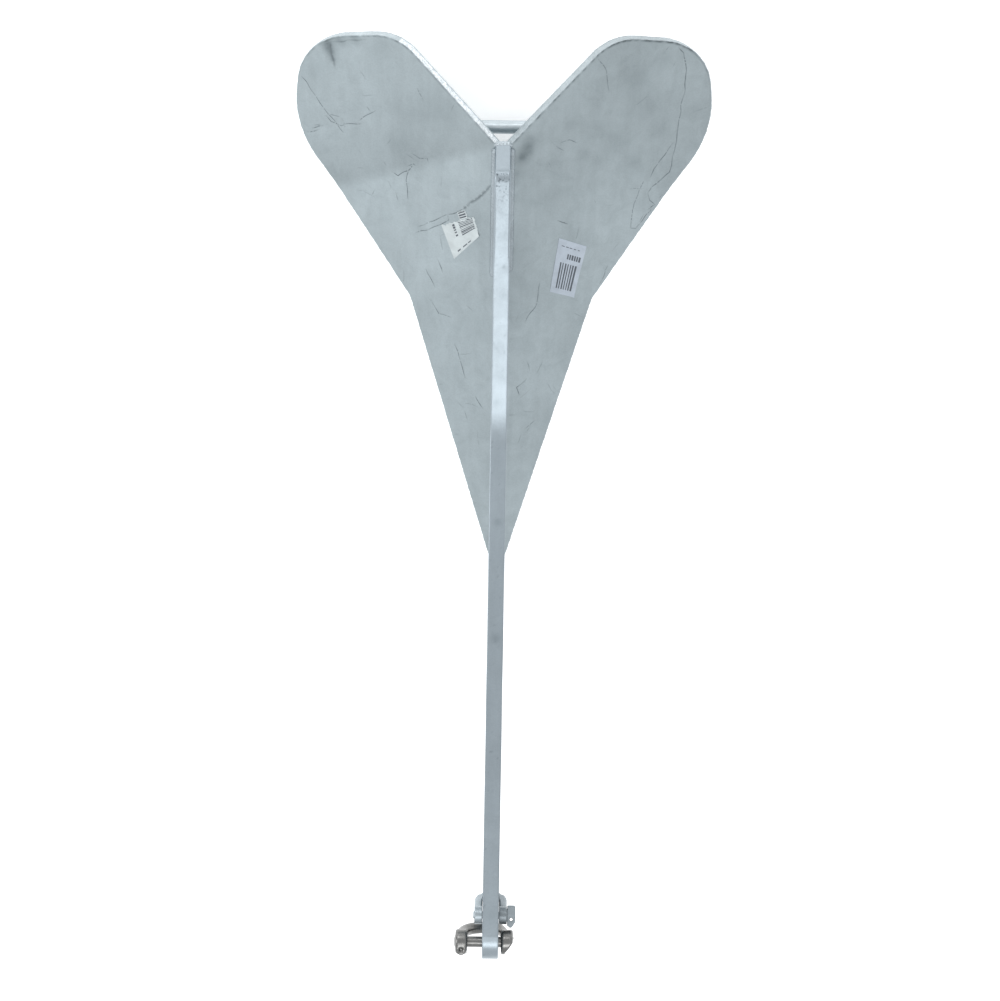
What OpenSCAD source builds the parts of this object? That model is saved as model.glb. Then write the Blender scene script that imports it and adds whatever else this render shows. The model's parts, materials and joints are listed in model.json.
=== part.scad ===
// Plough anchor: two steel fluke plates welded to a ridge, a flat-bar shank that rises
// forward over the tip, a brace rod across the rear, and two screw-pin shackles.
// Row frame: +Y towards the rear of the fluke, -Y towards the shackles, +Z up.
// The anchor stands on its two lobes and its tip.

/* [Attitude] */
// Angle of the shank's arm above the ground when the anchor rests on lobes and tip
rest_pitch = 22.2; // [15:0.1:28]
// Distance from the middle of the anchor's length back to the ridge's rear end
ridge_rear_y = 243.8; // [150:0.1:300]
// Height of the ridge's rear end above the ground
ridge_rear_z = 57.1; // [40:0.1:120]

/* [Fluke] */
// Thickness of the fluke plates
plate_t = 8; // [5:0.5:12]
// Angle between the ridge and the shank's arm
ridge_slope = 30; // [24:1:36]
// Fall of each plate away from the ridge
plate_droop = 19.3; // [12:0.1:28]
// Length of the ridge from its rear end to the point
ridge_len = 361; // [300:1:420]
// Half width of the blunt point
tip_half_w = 2; // [1:0.5:5]
// Upward bend of each lobe along its crease
lobe_bend = 5; // [0:0.5:9]
// Angle of the crease, swept forward from square to the ridge
crease_sweep = 23; // [10:1:35]
// Distance of the crease behind the ridge's rear end
crease_back = 7; // [0:1:20]

/* [Shank] */
// Thickness of the shank bar
shank_t = 12; // [8:1:20]
// Depth of the arm
arm_depth = 37; // [30:1:50]
// Arm's top edge below the ridge's rear end, square to the arm
arm_drop = 28; // [20:1:36]
// Reach of the shank forward of the ridge's rear end
shank_reach = 595; // [520:1:650]
// Distance from the shank's end to the end shackle's hole
end_hole_inset = 12; // [10:0.5:18]
// Spacing of the two shackle holes
hole_pitch = 20; // [19:0.5:30]
// Diameter of the end shackle's hole
end_hole_d = 9.5; // [9:0.5:11]
// Diameter of the rear shackle's hole
rear_hole_d = 7; // [6.5:0.5:8.5]

/* [Brace and welds] */
// Diameter of the brace rod
brace_d = 10; // [6:1:14]
// Distance of the brace rod behind the ridge's rear end, along the arm
brace_back = 22.5; // [15:0.5:30]
// Height of the brace rod's axis below the ridge's rear end, square to the arm
brace_drop = 31.5; // [28:0.5:36]
// Length of the brace rod
brace_len = 190; // [170:1:200]
// Leg of the shank's fillet welds
weld_leg = 4; // [3:0.5:6]
// Length of the shank's fillet welds along the ridge
shank_weld_len = 100; // [60:1:110]
// Length of the solid tip ballast
ballast_len = 126; // [80:1:150]

/* [End shackle] */
// Stock diameter of the bow and pin
end_stock = 8; // [6:0.5:9]
// Gap between the eyes
end_jaw = 26; // [16:0.5:28]
// Width inside the bow at its widest
end_bow_w = 25; // [20:0.5:28]
// Distance from the pin's axis to the centre of the crown
end_length = 34; // [32:0.5:44]
// Diameter of the eyes
end_eye_d = 17.5; // [14:0.5:18]
// Sideways rest position on the shank
end_offset = -4.5; // [-6.6:0.1:6.6]
// Forward lean from hanging plumb
end_lean = 12; // [0:1:20]
// Diameter of the locking screw's head in the left eye
lock_head_d = 7.5; // [5:0.5:7.5]

/* [Rear shackle] */
// Stock diameter of the bow and pin
rear_stock = 5.5; // [5:0.5:6]
// Gap between the legs
rear_jaw = 12.8; // [12.7:0.1:15]
// Distance from the pin's axis to the centre of the crown
rear_length = 30; // [28:0.5:36]
// Diameter of the eyes
rear_eye_d = 13; // [12:0.5:14]
// Width of the pin's flat tab, across the pin
tab_w = 17; // [14:0.5:19]
// Length of the tab, along the pin
tab_len = 6; // [5:0.5:9]
// Thickness of the tab
tab_t = 3.5; // [3:0.5:5]
// Diameter of the mousing hole in the tab
mousing_d = 2.4; // [2:0.1:4]

/* [Hidden] */
$fn = 48;

zinc = [0.64, 0.69, 0.71];
weld_zinc = [0.74, 0.78, 0.80];
stainless = [0.42, 0.42, 0.41];
paper = [0.93, 0.93, 0.90];

big = 400;                 // Larger than any stretch that a cutting block has to span
pin_fit = 0.05;            // Radial clearance of a pin in its eyes
label_t = 0.3;
arm_mid = -arm_drop - arm_depth / 2;
end_hole_u = shank_reach - end_hole_inset;
rear_hole_u = end_hole_u - hole_pitch;

// Corner list of a plate in its own plane, as [outward, forward, corner radius]
plate_corners = [
    [0, 0, 0], [80, -83.4, 35], [154.5, -71.3, 47], [164, 2.2, 74], [73.2, 129.5, 20],
    [tip_half_w, ridge_len, 0], [0, ridge_len, 0]];

// Side outline of the shank as [forward, up, corner radius], square to the arm
shank_corners = [
    [-5, -14, 0], [-5, 5, 2], [18, 27.3, 11], [200, -arm_drop, 90],
    [shank_reach, -arm_drop, 15], [shank_reach, -arm_drop - arm_depth, 12],
    [196, -arm_drop - arm_depth, 60], [118, -61, 10], [90, -55, 3]];

// Points of a polygon's outline with each corner rounded to its own radius
function unit(v) = v / norm(v);
function corner_arc(a, b, c, r, n = 8) =
    let (u = unit(a - b), w = unit(c - b), half = acos(u * w) / 2,
         reach = r / tan(half), centre = b + unit(u + w) * r / sin(half),
         p = b + u * reach - centre, q = b + w * reach - centre,
         sweep = 180 - 2 * half, turn = sign(p.x * q.y - p.y * q.x))
    [for (i = [0 : n]) let (t = turn * sweep * i / n)
        centre + [p.x * cos(t) - p.y * sin(t), p.x * sin(t) + p.y * cos(t)]];
function rounded(corners) =
    let (n = len(corners))
    [for (i = [0 : n - 1])
        let (k = corners[i], b = [k[0], k[1]],
             before = corners[(i + n - 1) % n], after = corners[(i + 1) % n])
        each k[2] == 0 ? [b]
            : corner_arc([before[0], before[1]], b, [after[0], after[1]], k[2])];

// Arm frame: origin at the ridge's rear end, -Y forward along the arm
module arm_frame() {
    translate([0, ridge_rear_y, ridge_rear_z]) rotate([-rest_pitch, 0, 0]) children();
}

// Ridge frame: same origin, -Y forward down the ridge
module ridge_frame() {
    arm_frame() rotate([ridge_slope, 0, 0]) children();
}

// Plate frame: X outward and -Y forward in the plane of one plate's upper face
module plate_frame(side) {
    ridge_frame() mirror([side < 0 ? 1 : 0, 0, 0]) rotate([0, plate_droop, 0]) children();
}

// Plumb frame at a shackle hole: Z is true vertical
module hole_frame(forward) {
    arm_frame() translate([0, -forward, arm_mid]) rotate([rest_pitch, 0, 0]) children();
}

module crease_frame() {
    translate([0, crease_back, 0]) rotate([0, 0, -crease_sweep]) children();
}

// Plate outline cut from sheet that is bent up along the crease: the outline's prism meets
// a slab whose side view is drawn across the crease
module bent_plate() {
    half_bend = lobe_bend / 2;
    intersection() {
        translate([0, 0, -big / 2]) linear_extrude(big)
            polygon([for (p = rounded(plate_corners)) [p.x, -p.y]]);
        crease_frame() rotate([90, 0, 90]) translate([0, 0, -big]) linear_extrude(2 * big)
            polygon([[0, 0], big * [cos(lobe_bend), sin(lobe_bend)],
                     big * [cos(lobe_bend), sin(lobe_bend)]
                         + plate_t * [sin(lobe_bend), -cos(lobe_bend)],
                     plate_t * [tan(half_bend), -1], [-2 * big, -plate_t], [-2 * big, 0]]);
    }
}

module fluke_plate(side) {
    color(zinc) difference() {
        plate_frame(side) bent_plate();
        ridge_frame() translate([side > 0 ? -big : 0, -big, -big / 2]) cube([big, 2 * big, big]);
    }
}

module left_fluke_plate() fluke_plate(-1);
module right_fluke_plate() fluke_plate(1);

// Block under the upper face of one plate, to cut a saddle out of what sits on the ridge
module under_plate(side) {
    plate_frame(side) translate([-big / 2, -big, -big]) cube([big, 2 * big, big]);
}

// A profile in the forward and up directions, extruded across the shank's thickness
module shank_slab(points) {
    rotate([90, 0, 90]) translate([0, 0, -shank_t / 2]) linear_extrude(shank_t)
        polygon([for (p = points) [-p.x, p.y]]);
}

module shank() {
    color(zinc) difference() {
        arm_frame() shank_slab(rounded(shank_corners));
        intersection() {
            under_plate(-1);
            under_plate(1);
        }
        for (hole = [[end_hole_u, end_hole_d], [rear_hole_u, rear_hole_d]])
            arm_frame() translate([0, -hole[0], arm_mid]) rotate([0, 90, 0])
                cylinder(h = 2 * shank_t, d = hole[1], center = true);
    }
}

// Convex bead between two points of a profile, bulging away from its root
function bead(root, from, to, bulge, n = 6) =
    concat([root], [for (i = [0 : n]) let (t = i / n, p = from + (to - from) * t)
        p + unit((from + to) / 2 - root) * bulge * sin(180 * t)]);

// A profile in X and Z drawn out forward along the ridge from one distance to another
module along_ridge(start, length) {
    translate([0, -start, 0]) rotate([90, 0, 0]) linear_extrude(length) children();
}

module shank_weld(side) {
    x = shank_t / 2;
    color(weld_zinc) ridge_frame() mirror([side < 0 ? 1 : 0, 0, 0])
        along_ridge(-2, shank_weld_len)
            polygon(bead([x, -x * tan(plate_droop)],
                [x + weld_leg, -(x + weld_leg) * tan(plate_droop)],
                [x, weld_leg - x * tan(plate_droop)], 0.6));
}

module shank_weld_left() shank_weld(-1);
module shank_weld_right() shank_weld(1);

// Space taken by the inner end of one plate's rear edge
module notch_edge_prism(side) {
    edge = plate_corners[1];
    plate_frame(side) translate([0, 0, -plate_t - 2]) linear_extrude(plate_t + 2.3)
        polygon([[-5, 0], [0, 0], [edge.x, -edge.y], [edge.x, -50], [-5, -50]]);
}

module shank_rear_weld() {
    color(weld_zinc) difference() {
        arm_frame() translate([0, 5, -1]) rotate([0, 90, 0])
            cylinder(h = shank_t + 2, d = 11, center = true);
        arm_frame() translate([-big / 2, -big + 5, -big / 2]) cube(big);
        for (side = [-1, 1]) notch_edge_prism(side);
    }
}

module ridge_weld() {
    half = 4.5;
    fall = half * tan(plate_droop);
    crown = 1.4;
    color(weld_zinc) ridge_frame() along_ridge(shank_weld_len + 20, ridge_len - shank_weld_len - 26)
        polygon(concat([[0, 0]], [for (t = [0 : 22.5 : 180])
            [half * cos(t), (fall + crown) * sin(t) - fall]]));
}

// Fillet in the inside corner where the plates' undersides meet
module inner_ridge_weld() {
    half = 6;
    root = -plate_t / cos(plate_droop);
    foot = root - half * tan(plate_droop);
    start = 14;
    color(weld_zinc) ridge_frame() along_ridge(start, ridge_len - ballast_len - start)
        polygon([[0, root], [half, foot], [0, foot - 0.8], [-half, foot]]);
}

module brace_line() {
    arm_frame() translate([0, brace_back, -brace_drop]) rotate([0, 90, 0]) children();
}

// Slab of space from a depth below a lobe's upper face
module lobe_slab(side, depth, height) {
    plate_frame(side) crease_frame() rotate([lobe_bend, 0, 0])
        translate([-big / 2, -big / 2, -depth]) cube([big, big, height]);
}

module brace_rod() {
    color(zinc) difference() {
        brace_line() cylinder(h = brace_len, d = brace_d, center = true);
        for (side = [-1, 1]) lobe_slab(side, plate_t, big);
    }
}

// Collar of weld round one end of the brace rod, against the plate's underside
module brace_weld(side) {
    collar = 4;
    color(weld_zinc) difference() {
        intersection() {
            brace_line() translate([0, 0, side * brace_len * 0.45])
                cylinder(h = brace_len * 0.14, d = brace_d + 2 * collar, center = true);
            lobe_slab(side, plate_t + collar, collar);
        }
        brace_line() cylinder(h = 2 * brace_len, d = brace_d, center = true);
    }
}

module brace_weld_left() brace_weld(-1);
module brace_weld_right() brace_weld(1);

// Solid wedge that closes the hollow under the point
module tip_ballast() {
    kink = plate_corners[4];
    back = tip_half_w + ballast_len * (kink[0] - tip_half_w) / (ridge_len - kink[1]);
    tip_z = -tip_half_w * sin(plate_droop) - plate_t * cos(plate_droop);
    back_z = -back * sin(plate_droop) - plate_t * cos(plate_droop);
    back_x = back * cos(plate_droop) - plate_t * sin(plate_droop);
    color(zinc) ridge_frame() difference() {
        translate([0, 0, -big / 4]) linear_extrude(big / 4)
            polygon([[back_x, ballast_len - ridge_len], [-back_x, ballast_len - ridge_len],
                     [0, -ridge_len]]);
        for (side = [0, 1])
            mirror([side, 0, 0]) rotate([0, plate_droop, 0])
                translate([-big / 2, -big, -plate_t]) cube([big, 2 * big, big]);
        translate([0, -ridge_len, tip_z]) rotate([-atan((tip_z - back_z) / ballast_len), 0, 0])
            translate([-big / 2, -big / 2, -big]) cube(big);
    }
}

// Blank stickers, as [outward, forward] corners on each plate
module label(side, corners) {
    color(paper) plate_frame(side) linear_extrude(label_t)
        polygon([for (p = corners) [p.x, -p.y]]);
}

module label_left() label(-1, [[47.7, 66.6], [22.3, 55.1], [17.7, 70.1], [37.5, 92.3]]);
module label_right() label(1, [[45.2, 74.9], [67.4, 84.9], [58.2, 125.9], [39, 118.5]]);

// U-shaped bow hanging from the pin's axis along X, with a flat round eye on each leg
module shackle_bow(stock, jaw, bow_w, length, eye_d) {
    eye_x = (jaw + stock) / 2;
    bend_r = (bow_w + stock) / 2;
    bend_z = bend_r - length;
    reach = norm([eye_x, bend_z]);
    splay = max(0, atan2(-bend_z, eye_x) - acos(bend_r / reach));
    sunk = splay > 0.1 ? 1 : 0; // Stretch of a splayed leg that is sunk in the bend
    difference() {
        union() {
            translate([0, 0, bend_z]) rotate([90, 0, 0]) rotate([0, 0, 180 - splay])
                rotate_extrude(angle = 180 + 2 * splay) translate([bend_r, 0]) circle(d = stock);
            for (side = [-1, 1]) {
                translate([side * bend_r * cos(splay), 0, bend_z + bend_r * sin(splay)])
                    rotate([0, -side * splay, 0]) translate([0, 0, -sunk])
                        cylinder(h = sqrt(reach * reach - bend_r * bend_r) + sunk,
                                 d = stock - 0.05 * sunk);
                translate([side * eye_x, 0, 0]) rotate([0, 90, 0])
                    cylinder(h = stock, d = eye_d, center = true);
            }
        }
        rotate([0, 90, 0]) cylinder(h = 4 * length, d = stock + 2 * pin_fit, center = true);
        if (splay > 0.1) for (side = [-1, 1]) // Faced seats for the pin's head and point
            translate([side * (jaw / 2 + stock), 0, 0]) rotate([0, side * 90, 0])
                cylinder(h = stock, d = eye_d);
    }
}

module end_shackle_frame() {
    hole_frame(end_hole_u) translate([end_offset, 0, 0]) rotate([-end_lean, 0, 0]) children();
}

// Frame of the end shackle, turned back parallel to the arm
module end_arm_frame() {
    end_shackle_frame() rotate([end_lean - rest_pitch, 0, 0]) children();
}

// Bow with a socket screw let into the rim of its left eye, which locks the pin
module end_shackle_bow() {
    eye_x = (end_jaw + end_stock) / 2;
    screw_y = lock_head_d / 2 - end_eye_d / 2;
    screw_top = 8.6;
    color(stainless) difference() {
        union() {
            end_shackle_frame()
                shackle_bow(end_stock, end_jaw, end_bow_w, end_length, end_eye_d);
            end_arm_frame() translate([-eye_x, screw_y, 4.6])
                cylinder(h = screw_top - 4.6, d = lock_head_d);
        }
        end_arm_frame() translate([-eye_x, screw_y, screw_top - 1.8])
            cylinder(h = 3, d = 4, $fn = 6);
    }
}

// Screw pin with a low domed head and a hexagon socket, head to the left
module end_shackle_pin() {
    half = end_jaw / 2 + end_stock;
    head_d = 12;
    head_h = 1.6;
    socket_af = 4;
    socket_depth = 3;
    color(stainless) end_shackle_frame() rotate([0, -90, 0]) difference() {
        union() {
            translate([0, 0, -half - 1]) cylinder(h = 2 * half + 1, d = end_stock);
            translate([0, 0, half]) intersection() {
                cylinder(h = head_h, d = head_d);
                translate([0, 0, head_h - head_d]) sphere(r = head_d);
            }
        }
        translate([0, 0, half + head_h - socket_depth])
            cylinder(h = socket_depth + 1, d = socket_af / cos(30), $fn = 6);
    }
}

module rear_shackle_bow() {
    color(zinc) hole_frame(rear_hole_u)
        shackle_bow(rear_stock, rear_jaw, rear_jaw, rear_length, rear_eye_d);
}

// Screw pin with a round collar and a flat skewed tab drilled for mousing wire, to the right
module rear_shackle_pin() {
    half = rear_jaw / 2 + rear_stock;
    overhang = 1;
    collar_d = 9;
    collar_h = 0.5;
    tab_back = 0.43 * tab_w;
    tab_front = tab_back - tab_w;
    color(zinc) hole_frame(rear_hole_u) rotate([-rest_pitch, 0, 0]) {
        translate([-half - overhang, 0, 0]) rotate([0, 90, 0])
            cylinder(h = 2 * half + overhang, d = rear_stock);
        translate([half, 0, 0]) rotate([0, 90, 0]) cylinder(h = collar_h, d = collar_d);
        translate([half + collar_h, 0, 0]) difference() {
            translate([0, 0, -tab_t / 2]) linear_extrude(tab_t)
                polygon(rounded([[0, tab_front + 2.2, 0.8], [tab_len / 2, tab_front, 1.5],
                                 [tab_len, tab_front / 2, 2], [tab_len, tab_back, 1.5],
                                 [0, tab_back, 0.8]]));
            translate([tab_len / 2, -3, 0])
                cylinder(h = 2 * tab_t, d = mousing_d, center = true);
        }
    }
}

left_fluke_plate();
right_fluke_plate();
shank();
ridge_weld();
inner_ridge_weld();
shank_weld_left();
shank_weld_right();
shank_rear_weld();
brace_rod();
brace_weld_left();
brace_weld_right();
tip_ballast();
label_left();
label_right();
end_shackle_bow();
end_shackle_pin();
rear_shackle_bow();
rear_shackle_pin();
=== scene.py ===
"""Looks of the plough anchor: two galvanised plates, a flat-bar shank, weld beads, a brace rod,
two shackles and two stickers without lettering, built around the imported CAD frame.

Lengths are in metres, in the row's frame: +Y towards the rear of the fluke, -Y towards the
shackles, +Z up. Most pieces are drawn in a local frame, in millimetres, with its origin at the
rear end of the ridge: the arm's, the ridge's or a plate's, each with X outward, Y backward and
Z up from the metal, or the shank's, with X backward, Y up and Z out of its right face."""

import json
import math
import random

import bmesh
import bpy
from mathutils import Matrix, Vector, noise
from mathutils.geometry import delaunay_2d_cdt


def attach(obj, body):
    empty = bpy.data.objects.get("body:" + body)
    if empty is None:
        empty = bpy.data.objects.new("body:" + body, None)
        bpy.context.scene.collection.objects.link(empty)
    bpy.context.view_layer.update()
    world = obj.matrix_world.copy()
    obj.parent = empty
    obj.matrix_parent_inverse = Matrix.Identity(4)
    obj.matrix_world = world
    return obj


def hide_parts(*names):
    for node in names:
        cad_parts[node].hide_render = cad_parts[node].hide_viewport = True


MM = 0.001

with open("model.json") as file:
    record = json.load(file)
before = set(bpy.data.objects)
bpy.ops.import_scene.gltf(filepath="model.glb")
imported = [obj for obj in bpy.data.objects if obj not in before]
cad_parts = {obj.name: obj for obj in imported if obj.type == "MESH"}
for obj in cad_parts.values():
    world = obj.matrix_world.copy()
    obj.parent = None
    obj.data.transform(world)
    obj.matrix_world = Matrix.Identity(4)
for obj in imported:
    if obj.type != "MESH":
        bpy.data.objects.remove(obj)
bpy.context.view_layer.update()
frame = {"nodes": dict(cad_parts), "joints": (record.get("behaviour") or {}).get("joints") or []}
joints = {joint["name"]: joint for joint in frame["joints"]}


# ---------------------------------------------------------------- driving dimensions, mm, degrees

PLATE_T = 8
PLATE_DROOP = 19.3              # Fall of each plate away from the ridge
PLATE_CORNERS = [(0, 0, 0), (80, 83.4, 35), (154.5, 71.3, 47), (164, -2.2, 74),
                 (73.2, -129.5, 20), (2, -361, 0), (0, -361, 0)]   # x, y, corner radius
LOBE_BEND = 5                   # Upward, behind the crease across each plate
CREASE_SWEEP = 23               # Forward, going outward
CREASE_BACK = 7                 # Crease behind the ridge's rear end, at the ridge
RIDGE_SLOPE = 30                # Between the ridge and the arm
RIDGE_LEN = 361
SHANK_T = 12
ARM_DROP = 28                   # Arm's top edge below the ridge's rear end, square to the arm
ARM_DEPTH = 37
END_HOLE_REACH = 583            # From the ridge's rear end, along the arm
REAR_HOLE_REACH = 563
SHANK_CORNERS = [(-5, 5, 2), (18, 27.3, 11), (200, -28, 90), (595, -28, 15), (595, -65, 12),
                 (196, -65, 60), (118, -61, 10), (90, -55, 3), (-5, -14, 0)]  # forward, up, radius
BRACE_D = 10
BRACE_BACK = 22.5               # Rod's axis behind the ridge's rear end, along the arm
BRACE_DROP = 31.5               # and below it


# ---------------------------------------------------------------- local frames

END_PIN = Vector(joints["end_shackle_swing"]["pos_m"])
REAR_PIN = Vector(joints["rear_shackle_swing"]["pos_m"])
ARM_MID_DROP = ARM_DROP + ARM_DEPTH / 2

side_axis = Vector((1, 0, 0))
arm_forward = (END_PIN - REAR_PIN).normalized()
arm_up = side_axis.cross(-arm_forward)
ridge_rear = END_PIN - arm_forward * END_HOLE_REACH * MM + arm_up * ARM_MID_DROP * MM
ridge_forward = Matrix.Rotation(math.radians(RIDGE_SLOPE), 3, side_axis) @ arm_forward
ridge_up = side_axis.cross(-ridge_forward)


def basis(x_axis, y_axis, z_axis, origin, scale=1.0):
    """Matrix from local coordinates to the row's frame."""
    matrix = Matrix((x_axis * scale, y_axis * scale, z_axis * scale)).transposed().to_4x4()
    matrix.translation = origin
    return matrix


def plate_basis(side):
    """X outward and Y backward in a plate's upper face; side is -1 for the left plate."""
    turn = Matrix.Rotation(math.radians(PLATE_DROOP), 3, -ridge_forward)
    outward = turn @ side_axis
    up = turn @ ridge_up
    outward.x *= side
    up.x *= side
    return basis(outward, -ridge_forward, up, ridge_rear, MM)


ARM = basis(side_axis, -arm_forward, arm_up, ridge_rear, MM)
RIDGE = basis(side_axis, -ridge_forward, ridge_up, ridge_rear, MM)
PLATES = {-1: plate_basis(-1), 1: plate_basis(1)}
SIDES = {-1: "left", 1: "right"}


# ---------------------------------------------------------------- camera

CAMERA_DISTANCE = 2.3
VIEW_WIDTH = 0.74               # Width seen in the plane of the arm's top edge
AIM_FORWARD = 254               # Where the view's centre meets that plane, mm
AIM_RIGHT = 1.9
CAMERA_ROLL = math.radians(0.957)
SENSOR = 36.0


def make_camera():
    """Looks square at the arm's top edge, slightly turned about its own axis."""
    aim = ARM @ Vector((AIM_RIGHT, -AIM_FORWARD, -ARM_DROP))
    right = side_axis * math.cos(CAMERA_ROLL) - arm_forward * math.sin(CAMERA_ROLL)
    data = bpy.data.cameras.new("camera")
    data.sensor_width = SENSOR
    data.lens = SENSOR * CAMERA_DISTANCE / VIEW_WIDTH
    data.clip_start = 0.05
    data.clip_end = 50
    camera = bpy.data.objects.new("camera", data)
    camera.matrix_world = basis(right, arm_up.cross(right), arm_up, aim + arm_up * CAMERA_DISTANCE)
    bpy.context.scene.collection.objects.link(camera)
    bpy.context.scene.camera = camera


make_camera()


# ---------------------------------------------------------------- shader helpers

def new_material(name):
    material = bpy.data.materials.new(name)
    material.use_nodes = True
    tree = material.node_tree
    return material, tree, tree.nodes["Principled BSDF"]


def add(tree, kind, inputs=(), **settings):
    """Adds a shader node; each input is a socket to link or a value to set."""
    node = tree.nodes.new(kind)
    for key, value in settings.items():
        setattr(node, key, value)
    for key, value in dict(inputs).items():
        if isinstance(value, bpy.types.NodeSocket):
            tree.links.new(value, node.inputs[key])
        else:
            node.inputs[key].default_value = value
    return node


def object_coords(tree, stretch=(1, 1, 1)):
    coords = add(tree, "ShaderNodeTexCoord").outputs["Object"]
    return add(tree, "ShaderNodeMapping", {"Vector": coords, "Scale": stretch}).outputs["Vector"]


def noise_field(tree, coords, scale, detail=3.0, roughness=0.55, distortion=0.0):
    return add(tree, "ShaderNodeTexNoise", {
        "Vector": coords, "Scale": scale, "Detail": detail, "Roughness": roughness,
        "Distortion": distortion}).outputs["Fac"]


def ramp(tree, factor, stops):
    """Colour ramp; each stop is (position, grey level or colour)."""
    node = add(tree, "ShaderNodeValToRGB", {"Fac": factor})
    elements = node.color_ramp.elements
    while len(elements) < len(stops):
        elements.new(0.5)
    for element, (position, colour) in zip(elements, stops):
        if isinstance(colour, (int, float)):
            colour = (colour, colour, colour)
        element.position = position
        element.color = (*colour, 1.0)
    return node.outputs["Color"]


def mix(tree, factor, a, b, blend="MIX"):
    """Mix of two colours; each may be a socket or a colour tuple."""
    node = add(tree, "ShaderNodeMix", data_type="RGBA", blend_type=blend)
    for value, socket in ((factor, node.inputs[0]), (a, node.inputs[6]), (b, node.inputs[7])):
        if isinstance(value, bpy.types.NodeSocket):
            tree.links.new(value, socket)
        elif isinstance(value, tuple):
            socket.default_value = (*value, 1.0)
        else:
            socket.default_value = value
    return node.outputs[2]


def maths(tree, operation, a, b=0.0, clamp=False):
    return add(tree, "ShaderNodeMath", {0: a, 1: b}, operation=operation,
               use_clamp=clamp).outputs[0]


def bump(tree, height, strength, distance, normal=None):
    inputs = {"Height": height, "Strength": strength, "Distance": distance}
    if normal is not None:
        inputs["Normal"] = normal
    return add(tree, "ShaderNodeBump", inputs).outputs["Normal"]


def attribute(tree, name):
    return add(tree, "ShaderNodeAttribute", attribute_name=name).outputs["Fac"]


# ---------------------------------------------------------------- materials

SPECK = (0.12, 0.14, 0.16)
GRIME = (0.075, 0.1, 0.11)
# Colour of ground or cut metal, also used for a painted highlight
BARE_METAL_AND_HIGHLIGHT = (0.86, 0.9, 0.93)
# Colour of scratches, also used for painted shade along rounded rims
SCRATCH_AND_RIM_SHADE = (0.09, 0.11, 0.12)


def tinted(colour, gain):
    return tuple(channel * gain for channel in colour)


def zinc(name, tone, roughness, painted=False, blotch=0.07, grain=0.5, relief=0.25):
    """Hot-dip zinc: soft blotches, faint runs, fine grain and pits. A painted surface also has
    vertex fields for scratches and painted rim shade, stains, ground or cut metal with painted
    highlights, dark specks, and painted light and shade that scales the tone."""
    material, tree, shader = new_material(name)
    coords = object_coords(tree)
    clouds = noise_field(tree, coords, 17, 4, 0.55, 0.5)
    patches = noise_field(tree, coords, 65, 4, 0.6, 0.8)
    runs = noise_field(tree, object_coords(tree, (1, 0.16, 0.3)), 150, 3, 0.6, 0.3)
    fine = noise_field(tree, coords, 900, 3, 0.65)
    pits = add(tree, "ShaderNodeTexVoronoi", {"Vector": coords, "Scale": 330}).outputs["Distance"]

    colour = ramp(tree, clouds, [(0.3, tinted(tone, 1 - blotch)), (0.5, tone),
                                 (0.7, tinted(tone, 1 + blotch))])
    colour = mix(tree, 0.8, colour, ramp(tree, patches, [(0.3, 0.93), (0.55, 1.0), (0.75, 1.05)]),
                 "MULTIPLY")
    colour = mix(tree, 0.7, colour, ramp(tree, runs, [(0.35, 0.96), (0.6, 1.03)]), "MULTIPLY")
    colour = mix(tree, grain, colour, ramp(tree, fine, [(0.3, 0.86), (0.65, 1.05)]), "MULTIPLY")
    uneven = 0.3 * relief
    rough = ramp(tree, patches, [(0.3, roughness + uneven), (0.7, roughness - uneven)])
    height = mix(tree, 0.35, fine, ramp(tree, pits, [(0.03, 0.0), (0.16, 1.0)]))
    if painted:
        # Painted light and shade: a vertex field scales the tone up or down
        painted_light = maths(tree, "ADD", attribute(tree, "painted_light"), 1.0)
        colour = mix(tree, 1.0, colour, painted_light, "MULTIPLY")
        specks = ramp(tree, noise_field(tree, coords, 620, 2, 0.5), [(0.55, 0.0), (0.66, 1.0)])
        specks = maths(tree, "MULTIPLY", attribute(tree, "speck"), specks, clamp=True)
        colour = mix(tree, specks, colour, SPECK)
        rough = mix(tree, specks, rough, (0.6, 0.6, 0.6))
        stain = maths(tree, "MULTIPLY", attribute(tree, "smear"),
                      ramp(tree, patches, [(0.32, 0.35), (0.6, 1.0)]), clamp=True)
        colour = mix(tree, stain, colour, mix(tree, 0.65, colour, GRIME))
        # Ground or cut metal, with a painted highlight on the left plate's rear edges beside the shank
        shine = maths(tree, "MULTIPLY", attribute(tree, "bare_and_highlight"),
                      ramp(tree, fine, [(0.34, 0.25), (0.52, 1.0)]), clamp=True)
        colour = mix(tree, shine, colour, BARE_METAL_AND_HIGHLIGHT)
        rough = mix(tree, shine, rough, (0.34, 0.34, 0.34))
        # Scratches, and painted shade along the rearward rims of the plates
        scratch = maths(tree, "MULTIPLY", attribute(tree, "mark"),
                        ramp(tree, fine, [(0.25, 0.55), (0.6, 1.0)]), clamp=True)
        colour = mix(tree, scratch, colour, SCRATCH_AND_RIM_SHADE)
    shader.inputs["Metallic"].default_value = 0.8
    tree.links.new(colour, shader.inputs["Base Color"])
    tree.links.new(rough, shader.inputs["Roughness"])
    soft = bump(tree, patches, relief, 0.0012)
    tree.links.new(bump(tree, height, 0.3, 0.00022, soft), shader.inputs["Normal"])
    return material


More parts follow.
